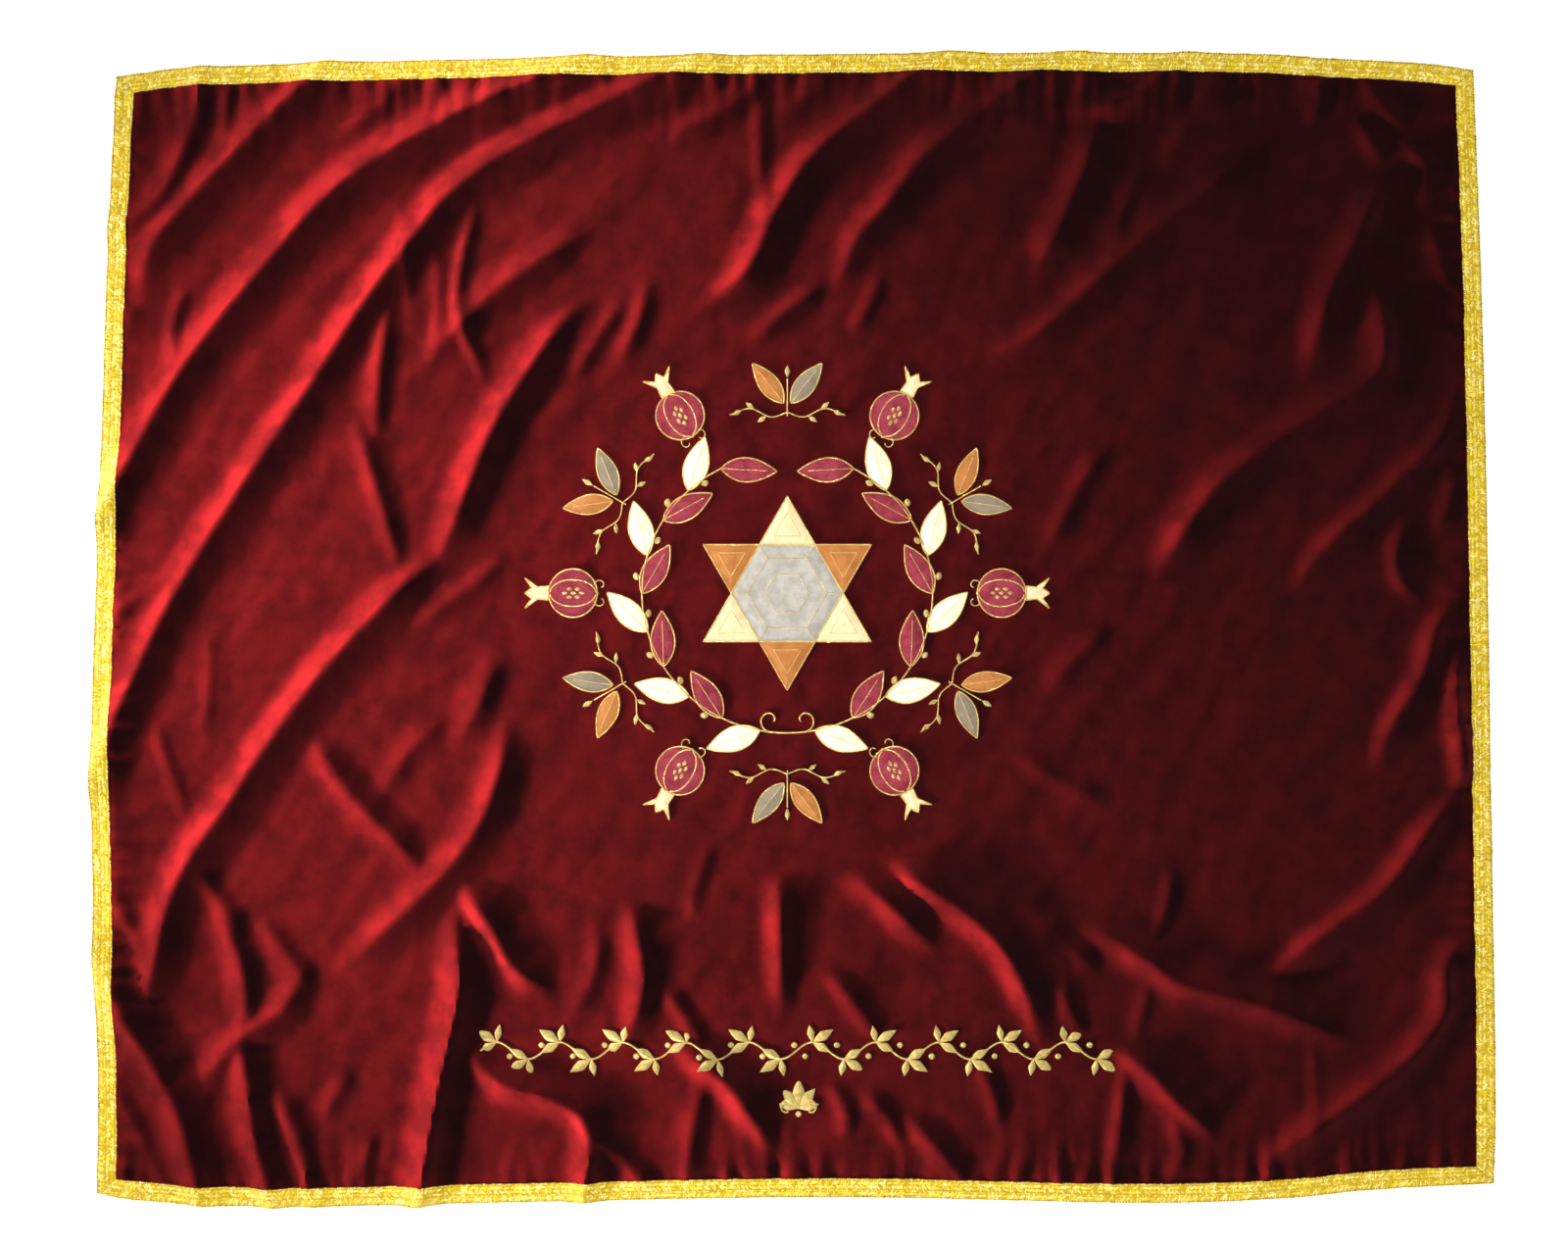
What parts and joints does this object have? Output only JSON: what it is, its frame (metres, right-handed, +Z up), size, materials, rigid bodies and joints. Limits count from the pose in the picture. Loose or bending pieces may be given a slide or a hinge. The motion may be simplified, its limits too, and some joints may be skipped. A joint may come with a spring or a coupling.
{
  "type": "velvet reading table cover",
  "caption": "Rectangular dark red velvet table cover lying in soft folds, edged with gold braid, with leather star, wreath and fruit patches sewn on its middle.",
  "frame": {"origin": "middle of the cover's outline, on the surface that it lies on", "axes": "+Z up out of the face, +X along the long side, +Y along the short side towards the top edge as it is read"},
  "size_m": [1.507, 1.2374, 0.02],
  "materials": {
    "velvet": "deep red cut-pile velvet, matt, brighter where it turns away",
    "braid": "woven metallic gold braid",
    "leather_cream": "smooth cream leather",
    "leather_burgundy": "crinkled burgundy leather with a metallic sheen",
    "leather_beige": "matt beige leather",
    "leather_tan": "matt tan leather",
    "leather_taupe": "matt taupe leather",
    "leather_silver": "silver-grey leather with a soft shine"
  },
  "bodies": {
    "root": {"braid_bottom": "braid", "braid_left": "braid", "braid_right": "braid", "braid_top": "braid", "crown_1": "leather_beige", "crown_2": "leather_beige", "crown_3": "leather_beige", "crown_4": "leather_beige", "crown_5": "leather_beige", "crown_6": "leather_beige", "fruit_1": "leather_burgundy", "fruit_2": "leather_burgundy", "fruit_3": "leather_burgundy", "fruit_4": "leather_burgundy", "fruit_5": "leather_burgundy", "fruit_6": "leather_burgundy", "sprig_leaf_1a": "leather_tan", "sprig_leaf_1b": "leather_taupe", "sprig_leaf_2a": "leather_tan", "sprig_leaf_2b": "leather_taupe", "sprig_leaf_3a": "leather_tan", "sprig_leaf_3b": "leather_taupe", "sprig_leaf_4a": "leather_tan", "sprig_leaf_4b": "leather_taupe", "sprig_leaf_5a": "leather_tan", "sprig_leaf_5b": "leather_taupe", "sprig_leaf_6a": "leather_tan", "sprig_leaf_6b": "leather_taupe", "star_centre": "leather_silver", "star_point_1": "leather_beige", "star_point_2": "leather_tan", "star_point_3": "leather_beige", "star_point_4": "leather_tan", "star_point_5": "leather_beige", "star_point_6": "leather_tan", "velvet": "velvet", "wreath_leaf_left_01": "leather_cream", "wreath_leaf_left_02": "leather_burgundy", "wreath_leaf_left_03": "leather_cream", "wreath_leaf_left_04": "leather_burgundy", "wreath_leaf_left_05": "leather_cream", "wreath_leaf_left_06": "leather_burgundy", "wreath_leaf_left_07": "leather_cream", "wreath_leaf_left_08": "leather_burgundy", "wreath_leaf_left_09": "leather_cream", "wreath_leaf_left_10": "leather_burgundy", "wreath_leaf_right_01": "leather_cream", "wreath_leaf_right_02": "leather_burgundy", "wreath_leaf_right_03": "leather_cream", "wreath_leaf_right_04": "leather_burgundy", "wreath_leaf_right_05": "leather_cream", "wreath_leaf_right_06": "leather_burgundy", "wreath_leaf_right_07": "leather_cream", "wreath_leaf_right_08": "leather_burgundy", "wreath_leaf_right_09": "leather_cream", "wreath_leaf_right_10": "leather_burgundy"}
  },
  "joints": []
}
